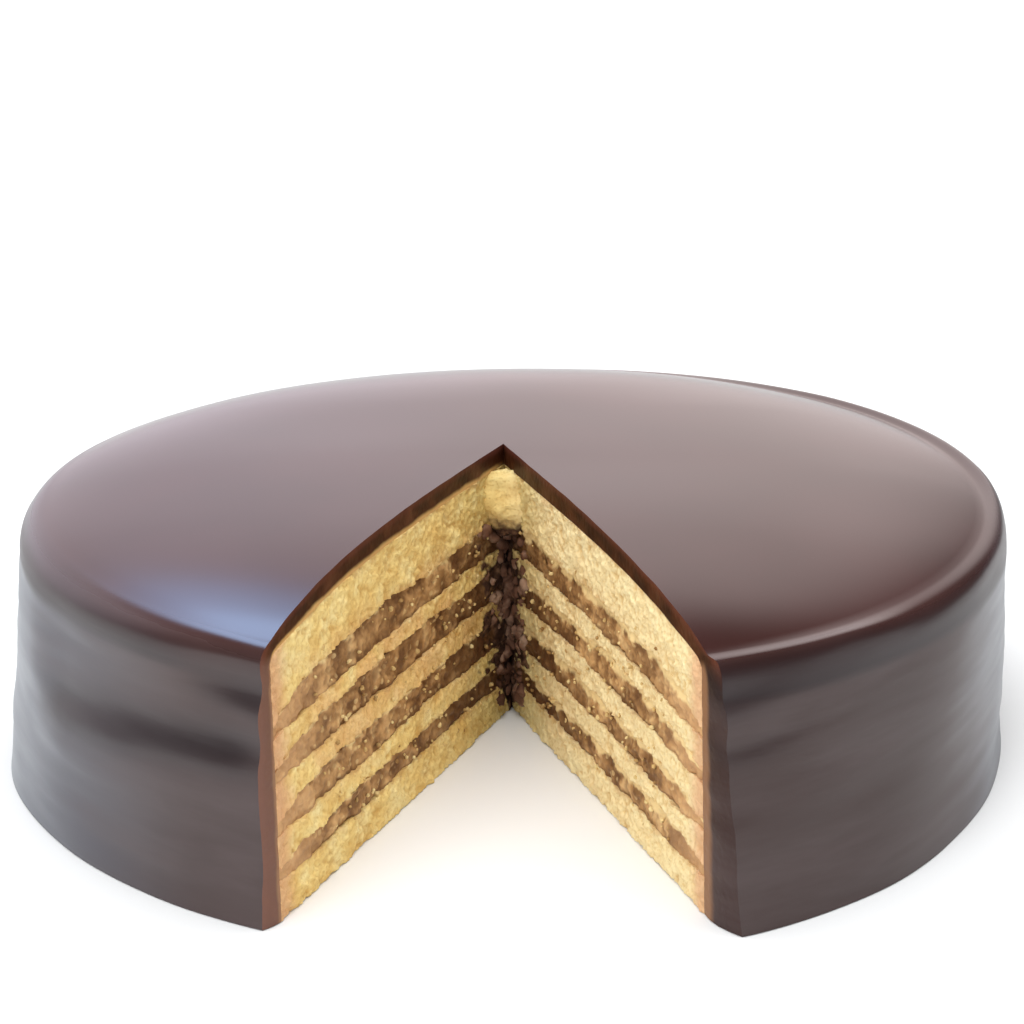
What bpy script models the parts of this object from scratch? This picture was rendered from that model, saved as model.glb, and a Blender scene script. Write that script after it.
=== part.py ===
# A dobash cake: thin yellow sponge layers with chocolate cream between them, in a chocolate
# glaze on top and a thin coat of icing down the side, with one wedge cut out at the front.
# Metres, +Z up. The cake rests on z = 0 and its cut wedge opens towards -Y.

import math

import bmesh
import bpy
from mathutils import Vector, noise

# The cake as a whole
CAKE_RADIUS = 0.1155
WALL_HEIGHT = 0.055
CENTRE_HEIGHT = 0.067
DOME_POWER = 3.7
DOME_FULLNESS = 0.74
SHOULDER_DOWN = 0.0042
SHOULDER_IN = 0.0058
SHOULDER_RISE = 0.0016
ROUND_CENTRE = Vector((0.00496, -0.00277, 0.0))

# How far the real cake is from a true round one, as shares of its radius. The wall flares
# out to the base, which sits a little to the left, and the rim and the base each have an
# oval and a three-cornered part, given by their cosine and sine.
BASE_FLARE = 0.034
BASE_SHIFT = (0.003, -0.020)
BASE_OVAL = (0.008, 0.008)
BASE_CORNERS = (-0.010, 0.025)
RIM_OVAL = (0.010, 0.011)
RIM_CORNERS = (-0.010, 0.010)
TOP_LEAN = -0.035

# The rim is crisper and higher on the right than on the left: how much the shoulder is lifted,
# its mean share and its cosine and sine
RIM_LIFT = 0.0029
RIM_LIFT_MEAN = 0.55
RIM_LIFT_WAVE = (-0.06, 0.70)
RIM_LIFT_SKEW = 1.4

# The wedge: its tip lies a little behind the middle, and each cut ends at an angle from -Y
TIP = Vector((-0.0037, 0.0077, 0.0))
LEFT_CUT_DEGREES = 26.6
RIGHT_CUT_DEGREES = 18.4
CUT_RUNS_PAST = 0.040

# Where a cut meets the wall its corner is rounded: how far before the foot of the wall the
# rounding starts, and how far into the cake it has gone there
RIGHT_CORNER = (0.010, 0.003)
LEFT_CORNER = (0.006, 0.002)
CORNER_ROWS = 4

# Layers from the bottom up, each with the share of the cake's height at which it ends.
# Near the wall the sponges sag together and squeeze the cream between them.
LAYERS = (
    ("sponge_1", 0.128),
    ("cream_1", 0.208),
    ("sponge_2", 0.287),
    ("cream_2", 0.383),
    ("sponge_3", 0.463),
    ("cream_3", 0.566),
    ("sponge_4", 0.631),
    ("cream_4", 0.737),
    ("sponge_5", 0.927),
)
SQUEEZE = 0.55
SQUEEZE_STARTS = 0.88
GAP = 0.0003
SIDE_COAT = 0.0025
INNER_SHOULDER = 0.0025

# Over the rim the glaze is thinner, because the top sponge reaches higher there
RIM_SHARE = 0.965
GLAZE_THINS = 0.8

# How uneven the surfaces are
LAYER_WAVER = 0.0009
WALL_WAVER = 0.0008
TOP_WAVER = 0.0004
SPONGE_CRUMB = 0.0008
CREAM_CRUMB = 0.0006
CREAM_SET_BACK = 0.0004

# How finely the shapes are divided
COAT_STEPS = 66
LAYER_STEPS = 30
COAT_RINGS = (0.0, 0.3, 0.55, 0.75, 0.87)
LAYER_RINGS = (0.0, 0.38, 0.66, 0.88)
WALL_ROWS = 5
INNER_WALL_ROWS = 3
SHOULDER_ROWS = 5
CUT_COLUMN = 0.0048
CUT_ROW = 0.004

ICING_COLOUR = (0.075, 0.028, 0.017)
SPONGE_COLOUR = (0.88, 0.66, 0.29)
CREAM_COLOUR = (0.29, 0.15, 0.06)


def wave(angle, turns, sizes):
    return sizes[0] * math.cos(turns * angle) + sizes[1] * math.sin(turns * angle)


def outline(angle, up):
    # Radius at an angle from +Y as a share of CAKE_RADIUS, from the base (0) to the rim (1)
    rim = 1 + wave(angle, 2, RIM_OVAL) + wave(angle, 3, RIM_CORNERS)
    base = 1 + BASE_FLARE + wave(angle, 1, BASE_SHIFT)
    base += wave(angle, 2, BASE_OVAL) + wave(angle, 3, BASE_CORNERS)
    return base + (rim - base) * up


def dome(share):
    # Height of the glaze at a share of the way from the middle to the rim
    rise = (1 - min(share, 1.0) ** DOME_POWER) ** DOME_FULLNESS
    return WALL_HEIGHT + (CENTRE_HEIGHT - WALL_HEIGHT) * rise


def settle(point):
    # Moves a point of an even, turned cake to its place on the real, slightly lopsided one
    angle = math.atan2(point.x, point.y)
    up = min(max(point.z / WALL_HEIGHT, 0.0), 1.0)
    share = outline(angle, up)
    lean = 1 + TOP_LEAN * point.x / WALL_HEIGHT
    return Vector((point.x * share, point.y * share, point.z * lean)) + ROUND_CENTRE


def cake_height(x, y):
    # Height of the whole cake above a place on the real cake's floor
    place = Vector((x, y, 0.0)) - ROUND_CENTRE
    angle = math.atan2(place.x, place.y)
    share = place.length / (CAKE_RADIUS * outline(angle, 1.0))
    return dome(share) * (1 + TOP_LEAN * place.x / WALL_HEIGHT)


def uneven(point, amount, across, up, seed):
    # A smooth rise and fall of the given amount, as wide as across and as tall as up
    return amount * noise.noise(Vector((point.x / across, point.y / across, point.z / up + seed)))


def rim_lift(even):
    # How far a point of the shoulder is lifted
    far = math.hypot(even.x, even.y)
    along = 1 - math.sqrt(min(max(CAKE_RADIUS - far, 0.0) / SHOULDER_IN, 1.0))
    share = RIM_LIFT_MEAN + wave(math.atan2(even.x, even.y), 1, RIM_LIFT_WAVE)
    bow = math.sin(math.pi * along ** RIM_LIFT_SKEW)
    return RIM_LIFT * min(max(share, 0.0), 1.0) * bow


def bend(corner, before, after, rows):
    # Points along a round corner between two points, the end points included
    points = []
    for row in range(rows + 1):
        t = row / rows
        points.append(before * (1 - t) ** 2 + corner * 2 * t * (1 - t) + after * t ** 2)
    return points


def coat_profile():
    # Section of the icing: from the middle of its top to the foot of the wall on the outside,
    # and back over the layers on the inside
    rim_share = 1 - SHOULDER_IN / CAKE_RADIUS
    points = [Vector((share * CAKE_RADIUS, dome(share))) for share in COAT_RINGS]
    corner = Vector((CAKE_RADIUS, WALL_HEIGHT + SHOULDER_RISE))
    on_top = Vector((rim_share * CAKE_RADIUS, dome(rim_share)))
    on_wall = Vector((CAKE_RADIUS, WALL_HEIGHT - SHOULDER_DOWN))
    points += bend(corner, on_top, on_wall, SHOULDER_ROWS)
    for row in range(1, WALL_ROWS + 1):
        points.append(Vector((CAKE_RADIUS, on_wall.y * (1 - row / WALL_ROWS))))
    food = food_profile(0, len(LAYERS), CAKE_RADIUS - SIDE_COAT, 0.0)[:-1]
    foot = food.pop()
    top_of_wall = food[-1]
    inner_wall = [foot.lerp(top_of_wall, row / INNER_WALL_ROWS) for row in range(INNER_WALL_ROWS)]
    return points + inner_wall + food[::-1]


def seam_share(seam):
    # Share of the cake's height at a seam: 0 is the base, and seam 1 is the top of layer 1
    return LAYERS[seam - 1][1] if seam > 0 else 0.0


def seam_height(seam, share):
    # Height of a seam at a share of the way to the rim
    level = seam_share(seam)
    if 0 < seam < len(LAYERS) and share > SQUEEZE_STARTS:
        cream_below = seam if seam % 2 else seam - 1
        middle = (seam_share(cream_below) + seam_share(cream_below + 1)) / 2
        level += (middle - level) * SQUEEZE * (share - SQUEEZE_STARTS) / (1 - SQUEEZE_STARTS)
    if seam == len(LAYERS) and share > GLAZE_THINS:
        level += (RIM_SHARE - level) * ((share - GLAZE_THINS) / (1 - GLAZE_THINS)) ** 2
    return level * dome(share)


def food_profile(low, high, radius, gap):
    # Section of the food between two seams, from the middle of its top to its base
    rim = radius / CAKE_RADIUS
    points = [Vector((share * CAKE_RADIUS, seam_height(high, share) - gap)) for share in LAYER_RINGS]
    corner = Vector((radius, seam_height(high, rim) - gap))
    if high == len(LAYERS):
        in_share = rim - INNER_SHOULDER / CAKE_RADIUS
        on_top = Vector((in_share * CAKE_RADIUS, seam_height(high, in_share) - gap))
        on_wall = Vector((radius, corner.y - INNER_SHOULDER))
        points += bend(corner, on_top, on_wall, 3)
    else:
        points.append(corner)
    if low == 0:
        return points + [Vector((radius, 0.0)), Vector((0.0, 0.0))]
    points.append(Vector((radius, seam_height(low, rim) + gap)))
    for share in reversed(LAYER_RINGS):
        points.append(Vector((share * CAKE_RADIUS, seam_height(low, share) + gap)))
    return points


def turn(name, profile, steps):
    # A closed solid of revolution from a profile that starts and ends on the axis
    mesh = bpy.data.meshes.new(name)
    edges = [(row, row + 1) for row in range(len(profile) - 1)]
    mesh.from_pydata([(point.x, 0.0, point.y) for point in profile], edges, [])
    turned = bpy.data.objects.new(name, mesh)
    bpy.context.scene.collection.objects.link(turned)
    screw = turned.modifiers.new("Turn", "SCREW")
    screw.steps = steps
    screw.render_steps = steps
    screw.use_merge_vertices = True
    screw.merge_threshold = 0.0001
    bpy.context.view_layer.update()
    solid = bpy.data.meshes.new_from_object(turned.evaluated_get(bpy.context.evaluated_depsgraph_get()))
    bpy.data.objects.remove(turned)
    return bpy.data.objects.new(name, solid)


def split_faces(mesh):
    # Splits each four-sided face along its shorter diagonal, so that the two faces that meet
    # at a seam are split alike
    shape = bmesh.new()
    shape.from_mesh(mesh)
    bmesh.ops.triangulate(shape, faces=shape.faces, quad_method="SHORT_EDGE")
    shape.to_mesh(mesh)
    shape.free()


def make_layer(name, low, high, collection):
    # The two layers that meet at a seam stray with it in the same way
    radius = CAKE_RADIUS - SIDE_COAT - GAP
    gap = GAP if high == len(LAYERS) else GAP / 2
    layer = turn(name, food_profile(low, high, radius, gap), LAYER_STEPS)
    for vertex in layer.data.vertices:
        even = vertex.co.copy()
        share = math.hypot(even.x, even.y) / CAKE_RADIUS
        middle = (seam_height(low, share) + seam_height(high, share)) / 2
        seam = high if even.z > middle else low
        vertex.co = settle(even)
        if 0 < seam < len(LAYERS):
            flat = Vector((even.x, even.y, 0.0))
            vertex.co.z += uneven(flat, LAYER_WAVER, 0.022, 1.0, 3.7 * seam)
    split_faces(layer.data)
    collection.objects.link(layer)
    return layer


def make_coat(name, collection):
    coat = turn(name, coat_profile(), COAT_STEPS)
    for vertex in coat.data.vertices:
        even = vertex.co.copy()
        out = Vector((even.x, even.y, 0.0))
        on_wall = out.length > CAKE_RADIUS - 0.0001 and even.z > 0.001
        on_top = even.z > dome(out.length / CAKE_RADIUS) - 0.0015
        past_food = out.length > CAKE_RADIUS - SIDE_COAT + GAP
        vertex.co = settle(even)
        if on_top or past_food:
            vertex.co.z += rim_lift(even)
        if on_wall:
            vertex.co += out.normalized() * uneven(even, WALL_WAVER, 0.035, 0.014, 3.0)
        elif on_top:
            vertex.co.z += uneven(even, TOP_WAVER, 0.045, 1.0, 9.0)
    collection.objects.link(coat)
    return coat


def cut_plan(column):
    # Outline of the wedge seen from above, from one outer end to the tip and out again,
    # with the direction in which each of its points would move into the cake
    points = []
    sides = ((1, RIGHT_CUT_DEGREES, RIGHT_CORNER), (-1, LEFT_CUT_DEGREES, LEFT_CORNER))
    for turn_way, degrees, corner in sides:
        angle = math.radians(180 - degrees) * turn_way
        outward = Vector((math.sin(angle), math.cos(angle), 0.0)) * CAKE_RADIUS
        along = (outward * outline(angle, 1.0) - TIP).normalized()
        into = Vector((-along.y, along.x, 0.0)) * turn_way
        foot = (outward * outline(angle, 0.0) - TIP).length
        before, depth = corner
        straight = foot - before
        columns = max(1, round(straight / column))
        steps = [straight * step / columns for step in range(columns + 1)]
        steps += [straight + before * row / CORNER_ROWS for row in range(1, CORNER_ROWS + 1)]
        steps.append(foot + CUT_RUNS_PAST)
        side = []
        for step in steps:
            rounded = depth * (max(0.0, min(step, foot) - straight) / before) ** 2
            rounded += max(0.0, step - foot)
            side.append((TIP + along * step + into * rounded, into, step))
        points += reversed(side) if turn_way == 1 else side[1:]
    return points


def cut_wedge(target, low, high, column, rows, crumb, set_back, cutters):
    # Takes the wedge out of one node. The cutter's levels follow the cake's height, and its
    # two cut faces are pushed in and out, so that the cut is as crumbly as the layer
    plan = cut_plan(column)
    over = 0.15
    levels = [low - over]
    for row in range(rows):
        levels.append(low + (high - low) * (row + 0.5) / rows)
    levels.append(high + over)
    shape = bmesh.new()
    ring = [shape.verts.new((place.x, place.y, levels[0])) for place, into, along in plan]
    top = shape.faces.new(ring)
    for row, level in enumerate(levels[1:]):
        pulled = bmesh.ops.extrude_face_region(shape, geom=[top])["geom"]
        if row > 0:
            bmesh.ops.delete(shape, geom=[top], context="FACES_ONLY")
        top = next(item for item in pulled if isinstance(item, bmesh.types.BMFace))
        for vertex in top.verts:
            vertex.co.z = level
    by_place = {(round(place.x, 6), round(place.y, 6)): (into, along) for place, into, along in plan}
    for vertex in shape.verts:
        into, along = by_place[(round(vertex.co.x, 6), round(vertex.co.y, 6))]
        share_up = vertex.co.z
        place = vertex.co + ROUND_CENTRE
        place.z = share_up * cake_height(place.x, place.y)
        fade = min(along / 0.008, 1.0)
        push = set_back + uneven(place, crumb, 0.0035, 0.003, 5.0)
        vertex.co = place + into * push * fade
    bmesh.ops.recalc_face_normals(shape, faces=shape.faces)
    mesh = bpy.data.meshes.new("wedge_" + target.name)
    shape.to_mesh(mesh)
    shape.free()
    cutter = bpy.data.objects.new("wedge_" + target.name, mesh)
    cutter.hide_render = True
    cutter.display_type = "WIRE"
    cutters.objects.link(cutter)
    cut = target.modifiers.new("Wedge", "BOOLEAN")
    cut.operation = "DIFFERENCE"
    cut.solver = "EXACT"
    cut.object = cutter


def make_material(name, colour, roughness):
    material = bpy.data.materials.new(name)
    material.use_nodes = True
    shader = material.node_tree.nodes["Principled BSDF"]
    shader.inputs["Base Color"].default_value = (*colour, 1.0)
    shader.inputs["Roughness"].default_value = roughness
    shader.inputs["Metallic"].default_value = 0.0
    return material


def finish(target, material):
    target.data.materials.clear()
    target.data.materials.append(material)
    target.data.shade_smooth()
    target.data.set_sharp_from_angle(angle=math.radians(35))


def main():
    for old in list(bpy.data.objects):
        bpy.data.objects.remove(old)
    cake = bpy.data.collections.new("dobash_cake")
    cutters = bpy.data.collections.new("cutters")
    bpy.context.scene.collection.children.link(cake)
    bpy.context.scene.collection.children.link(cutters)
    icing = make_material("chocolate_icing", ICING_COLOUR, 0.28)
    sponge = make_material("yellow_sponge", SPONGE_COLOUR, 0.85)
    cream = make_material("chocolate_cream", CREAM_COLOUR, 0.5)

    for number, (name, high) in enumerate(LAYERS):
        low = seam_share(number)
        rows = max(1, round((high - low) * CENTRE_HEIGHT / CUT_ROW))
        layer = make_layer(name, number, number + 1, cake)
        is_cream = name.startswith("cream")
        crumb = CREAM_CRUMB if is_cream else SPONGE_CRUMB
        set_back = CREAM_SET_BACK if is_cream else 0.0
        cut_wedge(layer, low, high, CUT_COLUMN, rows, crumb, set_back, cutters)
        finish(layer, cream if is_cream else sponge)

    coat = make_coat("icing", cake)
    cut_wedge(coat, 0.0, 1.3, CAKE_RADIUS, 1, 0.0, 0.0, cutters)
    finish(coat, icing)


main()
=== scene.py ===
import math
import random

import bmesh
import bpy
import numpy as np
from mathutils import Matrix, Vector, noise


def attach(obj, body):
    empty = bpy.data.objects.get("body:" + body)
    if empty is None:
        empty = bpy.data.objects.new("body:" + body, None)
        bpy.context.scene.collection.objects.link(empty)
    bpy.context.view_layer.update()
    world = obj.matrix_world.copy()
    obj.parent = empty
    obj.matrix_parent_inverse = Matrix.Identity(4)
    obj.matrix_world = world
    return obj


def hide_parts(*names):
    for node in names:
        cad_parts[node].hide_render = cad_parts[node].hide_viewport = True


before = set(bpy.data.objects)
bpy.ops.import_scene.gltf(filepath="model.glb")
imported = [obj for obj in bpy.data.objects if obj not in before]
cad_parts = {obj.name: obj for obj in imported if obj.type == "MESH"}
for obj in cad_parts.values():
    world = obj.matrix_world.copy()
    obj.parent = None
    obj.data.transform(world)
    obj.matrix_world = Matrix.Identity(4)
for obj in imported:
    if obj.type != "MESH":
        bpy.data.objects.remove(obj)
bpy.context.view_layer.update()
print("frame loaded:", ", ".join(sorted(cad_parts)))

# The cake's own form, the same values as in the part's source
cake = {
    "radius": 0.1155,
    "wallHeight": 0.055,
    "centreHeight": 0.067,
    "domePower": 3.7,
    "domeFullness": 0.74,
    "roundCentre": (0.00496, -0.00277),
    "baseFlare": 0.034,
    "baseShift": (0.003, -0.020),
    "baseOval": (0.008, 0.008),
    "baseCorners": (-0.010, 0.025),
    "rimOval": (0.010, 0.011),
    "rimCorners": (-0.010, 0.010),
    "topLean": -0.035,
    "rimLift": 0.0029,             # the rim is crisper and higher on the right
    "rimLiftMean": 0.55,
    "rimLiftWave": (-0.06, 0.70),
    "rimLiftSkew": 1.4,
    "tip": (-0.0037, 0.0077),      # from the round centre
    "leftCut": math.radians(26.6),
    "rightCut": math.radians(18.4),
    "rightCorner": (0.010, 0.003),   # rounding where a cut meets the wall: before it, into it
    "leftCorner": (0.006, 0.002),
    "sideCoat": 0.0025,
    "squeeze": 0.55,
    "squeezeStarts": 0.88,
    "innerShoulder": 0.0025,
    "innerDrop": 0.00125,
    "cornerBlend": 0.030,
    "dragWidth": 0.010,
    "rightDrag": 0.0058,
    "leftDrag": 0.0022,
    "rightDragTop": 0.8,
    "rimShare": 0.965,
    "glazeThins": 0.8,
}
seamShares = (0.0, 0.128, 0.208, 0.287, 0.383, 0.463, 0.566, 0.631, 0.737, 0.927)
# How close counts as the same, in metres, radians and shares
same = {"place": 0.00001, "turn": 0.002, "share": 0.001}
layerNames = ("sponge_1", "cream_1", "sponge_2", "cream_2", "sponge_3",
              "cream_3", "sponge_4", "cream_4", "sponge_5")


def wave(angle, turns, sizes):
    return sizes[0] * np.cos(turns * angle) + sizes[1] * np.sin(turns * angle)


def outline(angle, up):
    # radius at an angle from +Y, as a share of the cake's radius
    rim = 1 + wave(angle, 2, cake["rimOval"]) + wave(angle, 3, cake["rimCorners"])
    base = 1 + cake["baseFlare"] + wave(angle, 1, cake["baseShift"])
    base = base + wave(angle, 2, cake["baseOval"]) + wave(angle, 3, cake["baseCorners"])
    return base + (rim - base) * np.clip(up, 0, 1)


def dome(share):
    rise = (1 - np.minimum(share, 1.0) ** cake["domePower"]) ** cake["domeFullness"]
    return cake["wallHeight"] + (cake["centreHeight"] - cake["wallHeight"]) * rise


def cutDirection(degrees, side):
    # angle from +Y of the line from the tip to where the cut leaves the cake
    angle = (math.pi - degrees) * side
    far = cake["radius"] * float(outline(angle, 1.0))
    x = math.sin(angle) * far - cake["tip"][0]
    y = math.cos(angle) * far - cake["tip"][1]
    return math.atan2(x, y)


rightDirection = cutDirection(cake["rightCut"], 1)
leftDirection = cutDirection(cake["leftCut"], -1)
sweep = rightDirection - leftDirection


def reach(direction, radius, up):
    # how far from the tip a ray meets the cake's outline of the given radius
    length = np.array(radius, dtype=float) + np.zeros_like(direction)
    for step in range(7):
        x = cake["tip"][0] + length * np.sin(direction)
        y = cake["tip"][1] + length * np.cos(direction)
        length = length + radius * outline(np.arctan2(x, y), up) - np.hypot(x, y)
    return length


def fromTip(direction, length):
    # a place seen from the round centre
    x = cake["tip"][0] + length * np.sin(direction)
    y = cake["tip"][1] + length * np.cos(direction)
    return x, y


def rimLift(x, y, along):
    # how far the shoulder is lifted at a share of the way along its bend
    share = np.clip(cake["rimLiftMean"] + wave(np.arctan2(x, y), 1, cake["rimLiftWave"]), 0, 1)
    return cake["rimLift"] * share * np.sin(math.pi * along ** cake["rimLiftSkew"])


def shareOfRim(x, y):
    return np.hypot(x, y) / (cake["radius"] * outline(np.arctan2(x, y), 1.0))


def noiseAt(x, y, z, across, up, seed):
    places = zip((x / across).tolist(), (y / across).tolist(), (z / up + seed).tolist())
    return np.array([noise.noise(place) for place in places])


def noiseSum(x, y, z, grains):
    # each grain is its width, its height, its seed and its size
    return sum(noiseAt(x, y, z, across, up, seed) * size for across, up, seed, size in grains)


def smooth(low, high, value):
    t = np.clip((value - low) / (high - low), 0, 1)
    return t * t * (3 - 2 * t)


def roundCorners(x, y):
    # turns the cake's corners at the two cuts back round its centre, as the knife left them
    for direction, side, corner in ((rightDirection, 1, cake["rightCorner"]),
                                    (leftDirection, -1, cake["leftCorner"])):
        before, depth = corner
        foot = float(reach(np.array([direction]), cake["radius"], 0.0)[0])
        awayX = x - cake["tip"][0]
        awayY = y - cake["tip"][1]
        along = awayX * math.sin(direction) + awayY * math.cos(direction)
        into = (awayY * math.sin(direction) - awayX * math.cos(direction)) * side
        back = depth * (np.clip(along - foot + before, 0, 2 * before) / before) ** 2
        back = back * np.clip(1 - into / cake["cornerBlend"], 0, 1)
        angle = np.arctan2(x, y) - side * back / np.maximum(np.hypot(x, y), 0.01)
        far = np.hypot(x, y)
        x = np.where(back > 0, np.sin(angle) * far, x)
        y = np.where(back > 0, np.cos(angle) * far, y)
    return x, y


def foodReach(direction, up):
    # how far the sponge and cream go from the tip; at the cuts the coat is dragged thicker
    nearRight = np.exp(-((rightDirection - direction) * cake["radius"] / cake["dragWidth"]) ** 2)
    nearLeft = np.exp(-((direction - leftDirection) * cake["radius"] / cake["dragWidth"]) ** 2)
    coat = cake["sideCoat"] + cake["rightDrag"] * nearRight + cake["leftDrag"] * nearLeft
    level = up + (1 - up) * cake["rightDragTop"] * nearRight
    return reach(direction, cake["radius"] - coat, level)


# Modelling helpers
def deselectAll():
    if bpy.context.object and bpy.context.object.mode != "OBJECT":
        bpy.ops.object.mode_set(mode="OBJECT")
    bpy.ops.object.select_all(action="DESELECT")


def spunSection(name, columns, rows, steps, cuts):
    # A flat section one unit wide and one high is spun from the right cut round to the left
    # cut. The two cut faces are then divided finely, because the crumb shows there.
    deselectAll()
    bpy.ops.mesh.primitive_grid_add(
        x_subdivisions=columns, y_subdivisions=rows, size=1.0,
        location=(0.5, 0.0, 0.5), rotation=(math.pi / 2, 0.0, 0.0))
    piece = bpy.context.object
    piece.name = name
    piece.data.name = name
    bpy.ops.object.transform_apply(location=True, rotation=True, scale=True)
    bpy.ops.object.mode_set(mode="EDIT")
    bpy.ops.mesh.select_all(action="SELECT")
    bpy.ops.mesh.spin(steps=steps, angle=-sweep, center=(0, 0, 0), axis=(0, 0, 1))
    bpy.ops.mesh.select_all(action="SELECT")
    bpy.ops.mesh.remove_doubles(threshold=same["place"])
    bpy.ops.mesh.normals_make_consistent(inside=False)
    bpy.ops.mesh.select_all(action="DESELECT")
    bpy.ops.mesh.select_mode(type="FACE")
    shape = bmesh.from_edit_mesh(piece.data)
    for face in shape.faces:
        middle = face.calc_center_median()
        turned = math.atan2(middle.y, middle.x) % (2 * math.pi)
        onStart = min(turned, 2 * math.pi - turned) < same["turn"]
        onEnd = abs(turned - sweep) < same["turn"]
        face.select = abs(face.normal.z) < 0.5 and (onStart or onEnd)
    bmesh.update_edit_mesh(piece.data)
    if cuts:
        bpy.ops.mesh.subdivide(number_cuts=cuts, ngon=True, quadcorner="INNERVERT")
    bpy.ops.mesh.select_mode(type="VERT")
    bpy.ops.object.mode_set(mode="OBJECT")
    return piece


def sectionPlaces(piece):
    # for each vertex: share of the way out, direction from the tip, share of the way up,
    # and +1, -1 or 0 for the right cut face, the left one or neither
    count = len(piece.data.vertices)
    flat = np.empty(count * 3)
    piece.data.vertices.foreach_get("co", flat)
    x, y, z = flat.reshape(-1, 3).T
    out = np.hypot(x, y)
    turned = np.arctan2(y, x) % (2 * math.pi)
    turned = np.where(turned > 2 * math.pi - same["turn"], 0.0, turned)
    onEnd = np.abs(turned - sweep) < same["turn"]
    side = np.where(turned < same["turn"], 1, np.where(onEnd, -1, 0))
    side = np.where(out < same["place"], 0, side)
    return out, rightDirection - turned, z.copy(), side


def moveVertices(piece, x, y, z):
    places = np.column_stack((x + cake["roundCentre"][0], y + cake["roundCentre"][1], z))
    piece.data.vertices.foreach_set("co", places.ravel())
    piece.data.update()


def keepValues(piece, **attributes):
    # a value for each vertex, which the materials read by its name
    for name, values in attributes.items():
        kept = piece.data.attributes.new(name, "FLOAT", "POINT")
        kept.data.foreach_set("value", np.asarray(values, dtype=np.float32))


def smoothShading(piece, degrees):
    deselectAll()
    piece.select_set(True)
    bpy.context.view_layer.objects.active = piece
    bpy.ops.object.shade_smooth_by_angle(angle=math.radians(degrees))


# Node helpers
def addNode(tree, kind, **settings):
    # nodes stand in rows, in the order they are made in
    made = tree.nodes.new(kind)
    made.location = (len(tree.nodes) % 10 * 200, len(tree.nodes) // 10 * -350)
    for key, value in settings.items():
        if key in made.inputs:
            made.inputs[key].default_value = value
        else:
            setattr(made, key, value)
    return made


def newMaterial(name):
    material = bpy.data.materials.new(name)
    material.use_nodes = True
    tree = material.node_tree
    shader = tree.nodes["Principled BSDF"]
    shader.location = (2200, 0)
    tree.nodes["Material Output"].location = (2500, 0)
    return material, tree, shader


def feed(tree, sockets, sources):
    # each source is another node's output, an attribute's name, a number or a colour
    for socket, source in zip(sockets, sources):
        if isinstance(source, str):
            source = addNode(tree, "ShaderNodeAttribute", attribute_name=source).outputs["Fac"]
        if isinstance(source, tuple):
            socket.default_value = (*source, 1.0)
        elif isinstance(source, (int, float)):
            socket.default_value = source
        else:
            tree.links.new(source, socket)


def newGroup(name, **inputs):
    group = bpy.data.node_groups.new(name, "ShaderNodeTree")
    for label, value in inputs.items():
        kind = "NodeSocketFloat" if isinstance(value, float) else "NodeSocketColor"
        socket = group.interface.new_socket(name=label, in_out="INPUT", socket_type=kind)
        socket.default_value = value
    return group, addNode(group, "NodeGroupInput").outputs


def endGroup(group, **sources):
    for label, source in sources.items():
        kind = "NodeSocketColor" if source.type == "RGBA" else "NodeSocketFloat"
        group.interface.new_socket(name=label, in_out="OUTPUT", socket_type=kind)
    feed(group, addNode(group, "NodeGroupOutput").inputs, sources.values())
    return group


def placeGroup(tree, group, **values):
    return addNode(tree, "ShaderNodeGroup", node_tree=group, **values)


def ramp(tree, source, stops):
    # a colour ramp from a value socket
    made = addNode(tree, "ShaderNodeValToRGB")
    while len(made.color_ramp.elements) < len(stops):
        made.color_ramp.elements.new(0.5)
    for element, (where, colour) in zip(made.color_ramp.elements, stops):
        element.position = where
        element.color = (*colour, 1.0)
    tree.links.new(source, made.inputs["Fac"])
    return made.outputs["Color"]


def mixColour(tree, factor, first, second):
    made = addNode(tree, "ShaderNodeMix", data_type="RGBA")
    feed(tree, (made.inputs[0], made.inputs[6], made.inputs[7]), (factor, first, second))
    return made.outputs[2]


def calculate(tree, operation, first, second):
    made = addNode(tree, "ShaderNodeMath", operation=operation)
    feed(tree, made.inputs[:2], (first, second))
    return made.outputs[0]


def times(tree, first, second):
    return calculate(tree, "MULTIPLY", first, second)


def plus(tree, first, second):
    return calculate(tree, "ADD", first, second)


def between(tree, source, ends):
    # 0 at the first end and 1 at the second, which may be the lower one
    made = addNode(tree, "ShaderNodeMapRange", interpolation_type="SMOOTHSTEP")
    feed(tree, made.inputs[:3], (source, *ends))
    return made.outputs["Result"]


def tint(tree, base, mask, shade):
    # lays a shade over the base, by its amount, where the mask is between its ends
    if "ends" in shade:
        mask = between(tree, mask, shade["ends"])
    share = times(tree, mask, shade["amount"])
    return mixColour(tree, share, base, shade["colour"])


def objectPlaces(tree):
    return addNode(tree, "ShaderNodeTexCoord").outputs["Object"]


def splitPlaces(tree):
    split = addNode(tree, "ShaderNodeSeparateXYZ")
    tree.links.new(objectPlaces(tree), split.inputs["Vector"])
    return split.outputs


def pattern(tree, kind, **settings):
    # a noise or a cell texture in metres
    made = addNode(tree, "ShaderNodeTex" + kind, **settings)
    tree.links.new(objectPlaces(tree), made.inputs["Vector"])
    return made


def bumped(tree, shader, height, bump):
    made = addNode(tree, "ShaderNodeBump", Strength=bump[0], Distance=bump[1])
    tree.links.new(height, made.inputs["Height"])
    tree.links.new(made.outputs["Normal"], shader.inputs["Normal"])


# The camera stands where the photograph was taken from
cameraPlace = {
    "eye": (0.00496, -0.54630, 0.23014),
    "elevation": math.radians(19.782),
    "roll": math.radians(-1.761),
    "lens": 85.39,
    "shiftX": -0.01104,
    "shiftY": 0.07024,
    "sensor": 36.0,
    "clip": (0.01, 50),
}


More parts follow.
